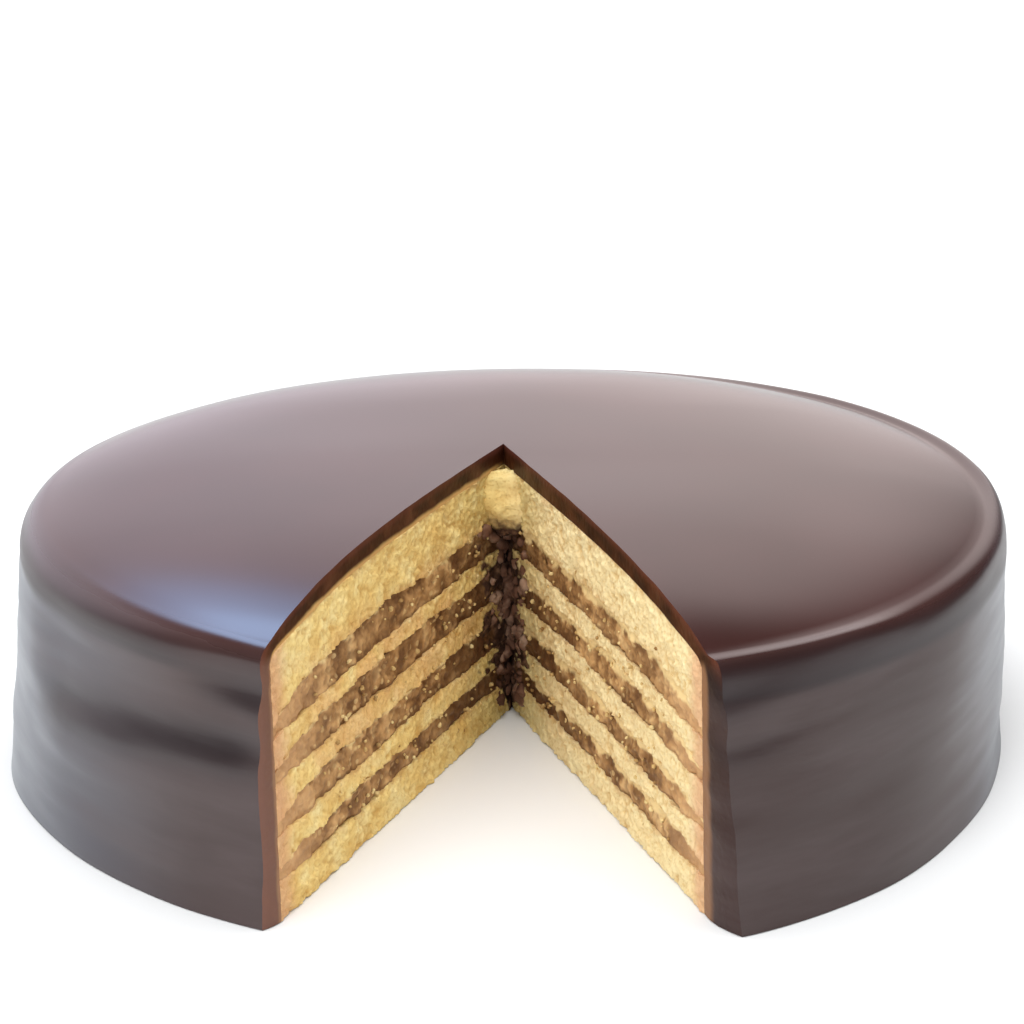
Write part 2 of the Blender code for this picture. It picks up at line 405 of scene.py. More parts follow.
def makeCamera():
    lens = bpy.data.cameras.new("camera")
    lens.lens = cameraPlace["lens"]
    lens.sensor_width = cameraPlace["sensor"]
    lens.shift_x = cameraPlace["shiftX"]
    lens.shift_y = cameraPlace["shiftY"]
    lens.clip_start, lens.clip_end = cameraPlace["clip"]
    camera = bpy.data.objects.new("camera", lens)
    bpy.context.scene.collection.objects.link(camera)
    level = Matrix.Rotation(math.pi / 2 - cameraPlace["elevation"], 4, "X")
    turned = Matrix.Rotation(cameraPlace["roll"], 4, "Z")
    camera.matrix_world = Matrix.Translation(cameraPlace["eye"]) @ level @ turned
    bpy.context.scene.camera = camera


makeCamera()
print("camera set")

# Layers, in metres. A grain of noise is its width, its height, its seed and its size
layerLook = {
    "cell": 0.004,
    "cuts": 12,               # each cell of a cut face is divided by
    "steps": 60,
    "strays": ((0.022, 3.7, 0.0009), (0.0052, 11.3, 0.00045), (0.0017, 17.9, 0.000315)),
    "creamThins": (0.012, 0.0015),      # from the edge of the food
    "creamCloses": 0.50,
    "spongeDepth": 0.00062,
    "spongeGrains": ((0.0065, 0.0050, 5.0, 0.8), (0.0023, 0.0018, 8.0, 0.8),
                     (0.0010, 0.0009, 12.0, 0.8)),
    "creamDepth": 0.00055,
    "creamGrains": ((0.0075, 0.0030, 5.0, 0.9), (0.0026, 0.0019, 8.0, 0.9),
                    (0.0011, 0.0009, 12.0, 0.6)),
    "creamSetBack": 0.0003,
    "reliefStarts": 0.003,    # from the tip
    "pitDepth": 0.0006,
    "sharpOver": 60,
}
# Dark cream dragged into the corner at the tip, its darkness partly painted shade of the deep corner;
# heights are shares of the cake's
smearLook = {
    "reach": 0.0165,
    "edgeGrains": ((0.006, 0.0035, 21.0, 1.0), (0.0022, 0.0018, 31.0, 0.6)),
    "edge": (0.60, 0.75),     # share of the reach that is sure, and that the noise adds
    "top": (0.90, 0.72),
    "foot": (0.0, 0.30),
    "footShare": 0.45,
    "fades": (1.25, 0.60),
    "depth": 0.0007,
    "lumps": (0.0030, 0.0026, 41.0),
    "thickness": (0.6, 0.8),
    "flattens": 0.6,
    "byTurn": 0.01,           # metres of noise that one radian counts for
    "least": 0.0001,
}


def seamLevel(seam, share, toWall):
    # share of the cake's height at a seam; near the wall the sponges close over the cream
    level = np.full_like(share, seamShares[seam])
    if 0 < seam < len(layerNames):
        below = seam if seam % 2 else seam - 1
        middle = (seamShares[below] + seamShares[below + 1]) / 2
        starts = cake["squeezeStarts"]
        squeezed = cake["squeeze"] * np.clip((share - starts) / (1 - starts), 0, 1)
        closed = layerLook["creamCloses"] * smooth(*layerLook["creamThins"], toWall)
        level = level + (middle - level) * np.maximum(squeezed, closed)
    if seam == len(layerNames):
        thins = np.clip((share - cake["glazeThins"]) / (1 - cake["glazeThins"]), 0, 1)
        level = level + (cake["rimShare"] - level) * thins ** 2
    return level


def seamStray(seam, x, y):
    flat = np.zeros_like(x)
    if not 0 < seam < len(layerNames):
        return flat
    return sum(noiseAt(x, y, flat, across, 1.0, seed * seam) * size
               for across, seed, size in layerLook["strays"])


def leaned(z, x):
    return z * (1 + cake["topLean"] * x / cake["wallHeight"])


def shoulderDrop(toWall):
    # the top sponge is rounded off under the glaze
    near = np.clip(1 - toWall / cake["innerShoulder"], 0, 1)
    return cake["innerDrop"] * near ** 2


def smearAt(length, z, direction):
    # how far the dark cream and the painted shade of the corner at the tip cover a place, from 0 to 1
    look = smearLook
    height = z / cake["centreHeight"]
    ragged = noiseSum(length, direction * look["byTurn"], z, look["edgeGrains"])
    reachHere = look["reach"] * (look["edge"][0] + look["edge"][1] * ragged)
    narrow = look["footShare"] + (1 - look["footShare"]) * smooth(*look["foot"], height)
    reachHere = reachHere * smooth(*look["top"], height) * narrow
    return smooth(*look["fades"], length / np.maximum(reachHere, look["least"]))


def makeLayer(number):
    look = layerLook
    name = layerNames[number]
    kind = name.split("_")[0]
    rimHeight = cake["centreHeight"] * (seamShares[number + 1] - seamShares[number])
    rows = max(1, round(rimHeight / look["cell"]))
    columns = round(cake["radius"] / look["cell"])
    piece = spunSection("cake_" + name, columns, rows, look["steps"], look["cuts"])
    out, direction, high, side = sectionPlaces(piece)
    up = seamShares[number] + (seamShares[number + 1] - seamShares[number]) * high
    edge = foodReach(direction, up)
    length = out * edge
    toWall = edge - length
    x, y = fromTip(direction, length)
    share = shareOfRim(x, y)
    low = seamLevel(number, share, toWall)
    top = seamLevel(number + 1, share, toWall)
    z = leaned((low + (top - low) * high) * dome(share), x)
    z = z + seamStray(number, x, y) * (1 - high) + seamStray(number + 1, x, y) * high
    if number + 1 == len(layerNames):
        z = z - shoulderDrop(toWall) * high
    # the cut faces are crumbly: the push goes into the cake
    push = look[kind + "Depth"] * noiseSum(x, y, z, look[kind + "Grains"])
    if kind == "cream":
        push = push + look["creamSetBack"]
    smear = smearAt(length, z, direction)
    lumps = noiseAt(x, y, z, *smearLook["lumps"])
    thick = smearLook["thickness"][0] + smearLook["thickness"][1] * lumps
    push = push * (1 - smearLook["flattens"] * smear) - smear * smearLook["depth"] * thick
    relief = push * smooth(0.0, look["reliefStarts"], length) * np.abs(side)
    x = x - relief * np.cos(direction) * side
    y = y + relief * np.sin(direction) * side
    x, y = roundCorners(x, y)
    moveVertices(piece, x, y, z)
    keepValues(piece, toWall=toWall, fromTip=length, smear=smear, up=high,
               pit=np.clip(push / look["pitDepth"], -1, 1),
               seam=np.abs(high - 0.5) * 2 if number > 0 else high)
    smoothShading(piece, look["sharpOver"])
    return piece


# Icing: profile sizes, and how the knife left it
icingLook = {
    "topColumns": 64,
    "shoulderColumns": 14,
    "wallColumns": 52,
    "rows": 4,
    "steps": 300,
    "shoulderDown": 0.0042,
    "shoulderIn": 0.0058,
    "shoulderRise": 0.0016,
    "wallGrains": ((0.035, 0.014, 3.0, 0.0008), (0.030, 0.0042, 51.0, 0.00016),
                   (0.016, 0.0019, 53.0, 0.00008)),
    "topGrains": ((0.045, 1.0, 9.0, 0.0004),),
    "cutGrains": ((0.007, 0.0035, 61.0, 0.0003),),
    "cutEdges": 0.4,          # share of the cut's drag at its two edges
    "cutStarts": 0.004,
    "softRim": tuple(math.radians(turn) for turn in (80, 105, 132, 148)),
    "softens": 0.5,
    "shoulderDark": 0.90,
    "palerBy": 0.60,          # the painted shoulder shade is lighter beside the left cut
    "palerFrom": (0.030, 0.010),
    "shadeBand": (0.35, 0.75),
    "shadeEnds": (0.05, 0.0),
    "sharpOver": 40,
}
# Where the knife pressed the wall in: side of the cut, from and to along the wall, height,
# tallness, depth, how much it rises on the way, and how much painted shade its slope gets
ledges = (
    {"side": -1, "ends": (0.002, 0.082), "height": 0.0372, "tall": 0.0080, "depth": 0.0017,
     "rises": -0.0055, "paintedShade": 1.0},
    {"side": -1, "ends": (-0.004, 0.024), "height": 0.0485, "tall": 0.0050, "depth": 0.0010,
     "rises": 0.001, "paintedShade": 0.9},
    {"side": 1, "ends": (-0.004, 0.022), "height": 0.0480, "tall": 0.0050, "depth": 0.0008,
     "rises": 0.002, "paintedShade": 0.6},
    {"side": 1, "ends": (-0.002, 0.026), "height": 0.0375, "tall": 0.0040, "depth": 0.0006,
     "rises": 0.002, "paintedShade": 0.4},
)
ledgeForm = {
    "starts": (-0.012, 0.006),    # along the wall
    "fades": 0.022,
    "above": 3.4,             # in the ledge's own tallness, as those below
    "swellDown": 0.9,
    "swellTall": 0.8,
    "slopeTall": 0.70,
    "swell": 0.45,            # share of its depth
}


def ledgeDepth(direction, z):
    # a short slope that faces up, and a long one above it that comes back out; the second
    # value marks the slope for painted shade, as it mirrors the dark overhead
    form = ledgeForm
    depth = np.zeros_like(z)
    slope = np.zeros_like(z)
    for ledge in ledges:
        start = rightDirection if ledge["side"] > 0 else leftDirection
        along = (start - direction) * ledge["side"] * cake["radius"]
        near, far = ledge["ends"]
        here = smooth(near + form["starts"][0], near + form["starts"][1], along)
        here = here * smooth(far, far - form["fades"], along)
        off = z - ledge["height"] - ledge["rises"] * smooth(near, far, along)
        tall = ledge["tall"]
        pressed = smooth(-tall / 2, tall / 2, off) * smooth(form["above"] * tall, tall / 2, off)
        swollen = np.exp(-((off + form["swellDown"] * tall) / (form["swellTall"] * tall)) ** 2)
        depth = depth + ledge["depth"] * (pressed - form["swell"] * swollen) * here
        marked = np.exp(-(off / (form["slopeTall"] * tall)) ** 2)
        slope = np.maximum(slope, ledge["paintedShade"] * here * marked)
    return depth, slope


def bend(t, before, corner, after):
    return before * (1 - t) ** 2 + corner * 2 * t * (1 - t) + after * t ** 2


def makeIcing():
    look = icingLook
    columns = look["topColumns"] + look["shoulderColumns"] + look["wallColumns"]
    piece = spunSection("cake_icing", columns, look["rows"], look["steps"], 0)
    out, direction, high, side = sectionPlaces(piece)
    radius = cake["radius"]
    column = out * columns
    topEnds = look["topColumns"]
    wallStarts = topEnds + look["shoulderColumns"]
    onTop = column <= topEnds + same["share"]
    onWall = column >= wallStarts - same["share"]
    topShare = np.clip(column / topEnds, 0, 1)
    bendShare = np.clip((column - topEnds) / look["shoulderColumns"], 0, 1)
    wallShare = np.clip((column - wallStarts) / look["wallColumns"], 0, 1)

    # outer skin
    rim = (radius - look["shoulderIn"]) / radius
    zWall = cake["wallHeight"] - look["shoulderDown"]
    corner = cake["wallHeight"] + look["shoulderRise"]
    outerRadius = bend(bendShare, rim * radius, radius, radius)
    outerZ = bend(bendShare, float(dome(rim)), corner, zWall)
    outerZ = np.where(onWall, zWall * (1 - wallShare), outerZ)
    up = np.clip(outerZ / cake["wallHeight"], 0, 1)
    outerLength = reach(direction, outerRadius, up) * np.where(onTop, topShare, 1.0)
    x, y = fromTip(direction, outerLength)
    outerZ = leaned(np.where(onTop, dome(shareOfRim(x, y)), outerZ), x)
    angle = np.arctan2(x, y)
    softStarts, softFull, softWanes, softEnds = look["softRim"]
    softer = smooth(softStarts, softFull, angle) * smooth(softEnds, softWanes, angle)
    outerZ = outerZ + rimLift(x, y, bendShare) * (1 - look["softens"] * softer)
    # the knife left the wall in shallow waves and streaks, and the top almost smooth
    wallPart = np.where(onTop, 0.0, np.where(onWall, 1.0, bendShare))
    pressed, slope = ledgeDepth(direction, outerZ)
    outward = (noiseSum(x, y, outerZ, look["wallGrains"]) - pressed) * wallPart
    outerLength = outerLength + outward
    x, y = fromTip(direction, outerLength)
    outerZ = outerZ + noiseSum(x, y, np.zeros_like(x), look["topGrains"]) * (1 - wallPart)

    # inner skin: it lies on the top sponge and down the sides of the layers
    edge = foodReach(direction, np.where(onWall, 1 - wallShare, 1.0))
    inset = cake["innerShoulder"] * (1 - bendShare)
    innerLength = np.where(onTop, (edge - cake["innerShoulder"]) * topShare, edge - inset)
    innerX, innerY = fromTip(direction, innerLength)
    innerShare = shareOfRim(innerX, innerY)
    toWall = edge - innerLength
    innerZ = leaned(seamLevel(len(layerNames), innerShare, toWall) * dome(innerShare), innerX)
    innerZ = innerZ - shoulderDrop(toWall)
    innerZ = np.where(onWall, innerZ * (1 - wallShare), innerZ)

    length = innerLength + (outerLength - innerLength) * high
    z = innerZ + (outerZ - innerZ) * high
    x, y = fromTip(direction, length)
    # the cut through the icing is a little dragged
    inside = np.where(np.abs(high - 0.5) < 0.5 - same["share"], 1.0, look["cutEdges"])
    drag = noiseSum(x, y, z, look["cutGrains"]) * inside * smooth(0.0, look["cutStarts"], length)
    x = x - drag * np.cos(direction) * side
    y = y + drag * np.sin(direction) * side
    x, y = roundCorners(x, y)
    moveVertices(piece, x, y, z)
    # painted shade on the shoulder band, lighter beside the left cut
    byLeftCut = smooth(*look["palerFrom"], (direction - leftDirection) * radius)
    paintedShade = look["shoulderDark"] - look["palerBy"] * byLeftCut
    band = smooth(*look["shadeBand"], bendShare) * smooth(*look["shadeEnds"], wallShare)
    keepValues(piece, wallPart=wallPart, through=high, shoulder=paintedShade * band,
               slope=slope * wallPart)
    # the faces of the two cut sections have a finish of their own
    sides = side.tolist()
    highs = high.tolist()
    tipColumn = (out < same["place"]).tolist()
    for face in piece.data.polygons:
        onCut = all(sides[index] or tipColumn[index] for index in face.vertices)
        acrossIt = len({highs[index] for index in face.vertices}) > 1
        face.material_index = 1 if onCut and acrossIt else 0
    smoothShading(piece, look["sharpOver"])
    return piece


# Finishes. A shade is a colour, the most of it that is laid over the base, and the ends
# between which its mask rises
crumbPattern = {
    "fineDetail": 4.0,
    "mottle": {"Scale": 150.0, "Detail": 6.0},
    "solid": (0.12, 0.5),
}
smearAndShadeFinish = {
    "broken": {"Scale": 420.0, "Detail": 4.0},
    "cover": (0.70, 1.20),
    "shades": ((0.38, (0.030, 0.013, 0.008)), (0.54, (0.070, 0.032, 0.019)),
               (0.70, (0.22, 0.12, 0.065))),
}


def makeCrumbGroup():
    # open crumb: pores between crumbs of several sizes, as a height and masks
    group, given = newGroup("open crumb", Size=900.0, Roughness=0.7)
    fine = pattern(group, "Noise", Detail=crumbPattern["fineDetail"])
    holes = pattern(group, "Voronoi", feature="SMOOTH_F1")
    wide = pattern(group, "Noise", **crumbPattern["mottle"])
    group.links.new(given["Size"], fine.inputs["Scale"])
    group.links.new(given["Roughness"], fine.inputs["Roughness"])
    group.links.new(given["Size"], holes.inputs["Scale"])
    solid = between(group, holes.outputs["Distance"], crumbPattern["solid"])
    return endGroup(group, Height=times(group, solid, fine.outputs["Fac"]),
                    Pores=calculate(group, "SUBTRACT", 1.0, solid), Mottle=wide.outputs["Fac"])


def makeSmearAndShadeGroup():
    # dark cream from the knife, with painted shade of the deep corner at the tip, over whatever the
    # layer is made of
    group, given = newGroup("dark smear and corner shade", Colour=(0.8, 0.6, 0.3, 1.0), Smear=0.0)
    broken = pattern(group, "Noise", **smearAndShadeFinish["broken"])
    lifted = plus(group, given["Smear"], broken.outputs["Fac"])
    cover = between(group, lifted, smearAndShadeFinish["cover"])
    dark = ramp(group, broken.outputs["Fac"], smearAndShadeFinish["shades"])
    return endGroup(group, Colour=mixColour(group, cover, given["Colour"], dark))


def placeSmearAndShade(tree, colour, shader):
    made = placeGroup(tree, smearAndShadeGroup)
    feed(tree, made.inputs, (colour, "smear"))
    tree.links.new(made.outputs["Colour"], shader.inputs["Base Color"])


def crumbMaterial(name, look):
    # matt, with open crumb in its surface; the last two are the crumb's masks and the colour
    material, tree, shader = newMaterial(name)
    crumb = placeGroup(tree, crumbGroup, **look["grain"]).outputs
    surface = look["surface"]
    shader.inputs["Roughness"].default_value = surface["roughness"]
    shader.inputs["Specular IOR Level"].default_value = surface["gloss"]
    bumped(tree, shader, crumb["Height"], surface["bump"])
    return material, tree, shader, crumb, ramp(tree, crumb["Mottle"], look["shades"])


spongeFinish = {
    "grain": {"Size": 1300.0, "Roughness": 0.7},
    "shades": ((0.32, (0.75, 0.50, 0.165)), (0.5, (0.84, 0.63, 0.25)), (0.68, (0.90, 0.75, 0.37))),
    "right": (-0.004, 0.012),
    # painted light on the right cut face
    "paintedLightRight": {"amount": 0.6, "colour": (0.84, 0.72, 0.46)},
    "rosyLow": (0.014, 0.024),
    "rosyHigh": (0.056, 0.046),
    "patches": {"Scale": 70.0, "Detail": 3.0},
    "patchy": (0.35, 0.62),
    "rosyLeft": {"amount": 0.60, "colour": (0.76, 0.44, 0.20)},
    # painted shade in the deep corner at the tip
    "tipShade": {"ends": (0.036, 0.010), "amount": 0.40, "colour": (0.46, 0.38, 0.13)},
    "pitShade": {"ends": (0.1, 0.9), "amount": 0.45, "colour": (0.58, 0.32, 0.08)},
    "poreShade": {"amount": 0.30, "colour": (0.60, 0.36, 0.11)},
    "soaking": {"Scale": 260.0, "Detail": 3.0},
    "soaked": {"ends": (1.32, 1.62), "amount": 0.55, "colour": (0.50, 0.27, 0.10)},
    "bakedEdge": {"ends": (0.0085, 0.0015), "amount": 0.75, "colour": (0.66, 0.36, 0.20)},
    "surface": {"roughness": 0.92, "gloss": 0.2, "bump": (0.6, 0.0004)},
}


def spongeMaterial():
    look = spongeFinish
    material, tree, shader, crumb, base = crumbMaterial("sponge", look)
    # painted light: the right cut face is paler, as the lamp on the left front lights it more
    split = splitPlaces(tree)
    right = between(tree, split["X"], look["right"])
    base = tint(tree, base, right, look["paintedLightRight"])
    # the middle layers of the left half are rosier; near the tip all are duller and darker, painted
    # shade of the deep corner
    low = between(tree, split["Z"], look["rosyLow"])
    high = between(tree, split["Z"], look["rosyHigh"])
    left = calculate(tree, "SUBTRACT", 1.0, right)
    patches = pattern(tree, "Noise", **look["patches"])
    patchy = between(tree, patches.outputs["Fac"], look["patchy"])
    rosy = times(tree, times(tree, times(tree, low, high), left), patchy)
    base = tint(tree, base, rosy, look["rosyLeft"])
    base = tint(tree, base, "fromTip", look["tipShade"])
    # painted shade: deeper places are a darker, stronger yellow, and the pores are darker too
    base = tint(tree, base, "pit", look["pitShade"])
    base = tint(tree, base, crumb["Pores"], look["poreShade"])
    # cream has soaked into the edges of each layer, and the baked edge is a rosy tan
    soaking = pattern(tree, "Noise", **look["soaking"])
    seam = plus(tree, "seam", soaking.outputs["Fac"])
    base = tint(tree, base, seam, look["soaked"])
    base = tint(tree, base, "toWall", look["bakedEdge"])
    placeSmearAndShade(tree, base, shader)
    return material


creamFinish = {
    "grain": {"Size": 520.0, "Roughness": 0.65},
    "shades": ((0.36, (0.16, 0.074, 0.027)), (0.46, (0.35, 0.186, 0.070)),
               (0.56, (0.53, 0.305, 0.125)), (0.68, (0.66, 0.43, 0.20))),
    "poreShade": {"amount": 0.35, "colour": (0.13, 0.055, 0.020)},
    "crumbs": {"Scale": 430.0, "feature": "F1"},
    "crumb": (0.34, 0.22),
    "patches": {"Scale": 120.0, "Detail": 2.0},
    "patchy": (0.42, 0.56),
    "dragged": {"amount": 0.55, "colour": (0.74, 0.53, 0.25)},
    "seamLine": {"ends": (1.25, 1.50), "amount": 0.7, "colour": (0.13, 0.060, 0.022)},
    "pitShade": {"ends": (0.3, 1.0), "amount": 0.5, "colour": (0.15, 0.065, 0.024)},
    "nearWall": {"ends": (0.028, 0.0030), "amount": 0.70, "colour": (0.62, 0.36, 0.17)},
    "byHeight": 0.45,         # how much sooner the painted shade near the tip ends higher up
    "deepTipShade": {"ends": (0.068, 0.024), "amount": 0.82, "colour": (0.085, 0.033, 0.011)},
    "right": (-0.004, 0.006),
    "onRight": 0.24,
    "uneven": 0.9,
    "drawnOver": {"ends": (1.36, 1.52), "amount": 0.80, "colour": (0.84, 0.64, 0.31)},
    "surface": {"roughness": 0.7, "gloss": 0.3, "bump": (0.6, 0.0005)},
}


def creamMaterial():
    look = creamFinish
    material, tree, shader, crumb, base = crumbMaterial("cream", look)
    # painted shade in the cream's pores
    base = tint(tree, base, crumb["Pores"], look["poreShade"])
    # crumbs of sponge that the knife dragged through the cream
    crumbs = pattern(tree, "Voronoi", **look["crumbs"])
    patches = pattern(tree, "Noise", **look["patches"])
    dragged = times(tree, between(tree, crumbs.outputs["Distance"], look["crumb"]),
                    between(tree, patches.outputs["Fac"], look["patchy"]))
    base = tint(tree, base, dragged, look["dragged"])
    # darker lines where it meets the sponge
    seam = plus(tree, "seam", patches.outputs["Fac"])
    base = tint(tree, base, seam, look["seamLine"])
    # painted shade in the deeper places of the cut
    base = tint(tree, base, "pit", look["pitShade"])
    base = tint(tree, base, "toWall", look["nearWall"])
    # painted shade of the deep corner: darker towards the tip, and over a longer way in the lower
    # layers
    split = splitPlaces(tree)
    higher = times(tree, split["Z"], look["byHeight"])
    near = plus(tree, "fromTip", higher)
    base = tint(tree, base, near, look["deepTipShade"])
    # on the right sponge was drawn down over its upper edge
    right = between(tree, split["X"], look["right"])
    level = plus(tree, "up", times(tree, right, look["onRight"]))
    uneven = times(tree, crumb["Mottle"], look["uneven"])
    base = tint(tree, base, plus(tree, level, uneven), look["drawnOver"])
    placeSmearAndShade(tree, base, shader)
    return material


# The glaze: its top, its wall and the cut through it
wallFinish = {
    "stretch": {"Across": 12.0, "Up": 70.0},
    "marking": {"Scale": 1.0, "Detail": 5.0, "Roughness": 0.6},
    "clouds": {"Scale": 22.0, "Detail": 4.0},
    "shades": ((0.35, (0.040, 0.021, 0.019)), (0.65, (0.060, 0.036, 0.034))),
    "right": (0.015, 0.040),
    "farRight": (0.112, 0.080),
    "brownRight": {"amount": 0.8, "colour": (0.032, 0.013, 0.010)},
    "bluishLightLeft": {"ends": (-0.060, -0.105), "amount": 0.7, "colour": (0.078, 0.088, 0.115)},
    "marks": {"ends": (0.4, 0.7), "amount": 0.35, "colour": (0.105, 0.078, 0.078)},
    "grazingReflection": {"ends": (0.58, 0.98), "amount": 0.70, "colour": (0.24, 0.262, 0.295)},
    "broken": (0.30, 0.48),
    "slope": {"amount": 1.0, "colour": (0.022, 0.014, 0.015)},
    "shoulder": {"amount": 1.0, "colour": (0.018, 0.009, 0.010)},
}
glazeFinish = {
    "shades": ((0.35, (0.036, 0.012, 0.010)), (0.65, (0.048, 0.016, 0.014))),
    "marks": (0.3, 0.7),
    "roughness": 0.20,
    "wallRougher": 0.12,
    "wallEven": 0.9,
    "refraction": 1.5,
    "bump": (0.2, 0.0008),
}
cutFinish = {
    "grain": {"Size": 600.0, "Roughness": 0.6},
    "shades": ((0.32, (0.026, 0.007, 0.003)), (0.52, (0.052, 0.014, 0.005)),
               (0.72, (0.10, 0.032, 0.014))),
    "upperEdge": {"ends": (0.62, 0.95), "amount": 0.6, "colour": (0.13, 0.034, 0.022)},
    "uneven": 0.30,
    "soaked": {"ends": (0.44, 0.22), "amount": 1.0, "colour": (0.56, 0.33, 0.12)},
    "wall": (0.4, 1.0),
    "leftWall": {"amount": 0.75, "colour": (0.20, 0.100, 0.072)},
    "goldenLine": {"ends": (0.42, 0.20), "amount": 1.0, "colour": (0.24, 0.12, 0.060)},
    "right": (-0.002, 0.002),
    "surface": {"roughness": 0.5, "gloss": 0.2, "bump": (0.25, 0.0004)},
}


def makeSpreadGroup():
    # marks of the knife in the icing: long and shallow
    group, given = newGroup("knife marks", Across=30.0, Up=220.0)
    scale = addNode(group, "ShaderNodeCombineXYZ")
    feed(group, scale.inputs, (given["Across"], given["Across"], given["Up"]))
    stretched = addNode(group, "ShaderNodeVectorMath", operation="MULTIPLY")
    feed(group, stretched.inputs, (objectPlaces(group), scale.outputs["Vector"]))
    marks = addNode(group, "ShaderNodeTexNoise", **wallFinish["marking"])
    group.links.new(stretched.outputs["Vector"], marks.inputs["Vector"])
    clouds = pattern(group, "Noise", **wallFinish["clouds"])
    return endGroup(group, Marks=marks.outputs["Fac"], Clouds=clouds.outputs["Fac"])


def wallColour(tree, spread):
    # browner on the right; greyer on the left as painted bluish light from the left, and paler where
    # the wall turns away as a painted reflection
    look = wallFinish
    side = ramp(tree, spread.outputs["Clouds"], look["shades"])
    split = splitPlaces(tree)
    right = times(tree, between(tree, split["X"], look["right"]),
                  between(tree, split["X"], look["farRight"]))
    side = tint(tree, side, right, look["brownRight"])
    side = tint(tree, side, split["X"], look["bluishLightLeft"])
    side = tint(tree, side, spread.outputs["Marks"], look["marks"])
    # painted reflection: paler and bluish where the wall turns away from the view
    turned = addNode(tree, "ShaderNodeLayerWeight", Blend=0.5).outputs["Facing"]
    side = tint(tree, side, turned, look["grazingReflection"])
    # painted shade on the upward slopes of the ledges
    broken = between(tree, spread.outputs["Clouds"], look["broken"])
    slope = times(tree, "slope", broken)
    side = tint(tree, side, slope, look["slope"])
    # painted shade: the rounded shoulder above the wall is the darkest, as it mirrors the dark overhead
    return tint(tree, side, "shoulder", look["shoulder"])


def icingMaterial():
    look = glazeFinish
    material, tree, shader = newMaterial("glaze")
    spread = placeGroup(tree, spreadGroup, **wallFinish["stretch"])
    top = ramp(tree, spread.outputs["Clouds"], look["shades"])
    base = mixColour(tree, "wallPart", top, wallColour(tree, spread))
    tree.links.new(base, shader.inputs["Base Color"])
    rough = between(tree, spread.outputs["Marks"], look["marks"])
    rough = times(tree, plus(tree, rough, look["wallEven"]), "wallPart")
    rough = times(tree, rough, look["wallRougher"])
    tree.links.new(plus(tree, rough, look["roughness"]), shader.inputs["Roughness"])
    shader.inputs["IOR"].default_value = look["refraction"]
    marks = times(tree, spread.outputs["Marks"], "wallPart")
    bumped(tree, shader, marks, look["bump"])
    return material


def icingCutMaterial():
    # where the knife went through the icing it is matt and a warmer brown
    look = cutFinish
    material, tree, shader, crumb, base = crumbMaterial("cut glaze", look)
    base = tint(tree, base, "through", look["upperEdge"])
    wall = between(tree, "wallPart", look["wall"])
    # on the left its lowest part has soaked into the crumb, and down the side it has picked
    # up crumb and is lighter
    uneven = times(tree, crumb["Mottle"], look["uneven"])
    left = tint(tree, base, plus(tree, "through", uneven), look["soaked"])
    left = tint(tree, left, wall, look["leftWall"])
    # on the right the wall's own coat was drawn over it, all but a golden line by the crumb
    spread = placeGroup(tree, spreadGroup, **wallFinish["stretch"])
    drawn = tint(tree, wallColour(tree, spread), "through", look["goldenLine"])
    right = mixColour(tree, wall, base, drawn)
    onRight = between(tree, splitPlaces(tree)["X"], look["right"])
    tree.links.new(mixColour(tree, onRight, left, right), shader.inputs["Base Color"])
    return material


crumbGroup = makeCrumbGroup()
smearAndShadeGroup = makeSmearAndShadeGroup()
spreadGroup = makeSpreadGroup()
finishes = {"sponge": spongeMaterial(), "cream": creamMaterial()}
for number, nodeName in enumerate(layerNames):
    kind = nodeName.split("_")[0]
    piece = makeLayer(number)
    piece.data.materials.append(finishes[kind])
    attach(piece, "root")
    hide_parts(nodeName)
print("layers made")

icingPiece = makeIcing()
icingPiece.data.materials.append(icingMaterial())
icingPiece.data.materials.append(icingCutMaterial())
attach(icingPiece, "root")
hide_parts("icing")
print("icing made")


# Loose pieces. The first is sponge on the cut, mostly on the cream and else next to it
crumbLook = {
    "names": ("crumb", "cake_crumbs", "loose crumb"),     # model, piece and finish
    "count": 300,
    "seed": 11,
    "model": (1, 0.5, 1.7, 2.0),     # divisions, unevenness, its fineness and its seed
    "radius": (0.00024, 0.00065),
    "uneven": (0.7, 1.3),
    "fromTip": (0.010, 0.100),
    "crowding": 1.2,
    "height": (0.5, 0.45),    # middle and spread, in thicknesses of the cream
    "standsOut": 0.1,
    "sharpOver": 60,
    "grain": {"Size": 1300.0, "Roughness": 0.7},
    "shades": ((0.36, (0.30, 0.16, 0.055)), (0.5, (0.62, 0.42, 0.17)), (0.66, (0.80, 0.64, 0.32))),
    "surface": {"roughness": 0.92, "gloss": 0.2, "bump": (0.6, 0.0004)},
}
# The sponge left standing in the corner under the glaze
knobLook = {
    "radii": (0.0086, 0.0052, 0.0073),
    "out": 0.0064,
    "aside": 0.0010,
    "height": 0.0550,
    "divisions": 5,
    "lumps": ((1.3, 0.34), (3.2, 0.15), (9.0, 0.06)),     # fineness and size
    "smear": 0.75,
    "shadedBelow": (0.0050, -0.0015),     # from the foot of the top sponge; below it the knob gets painted shade
    "sharpOver": 60,
    "values": {"toWall": 0.05, "fromTip": 0.028, "pit": -0.2, "seam": 0.0},
}
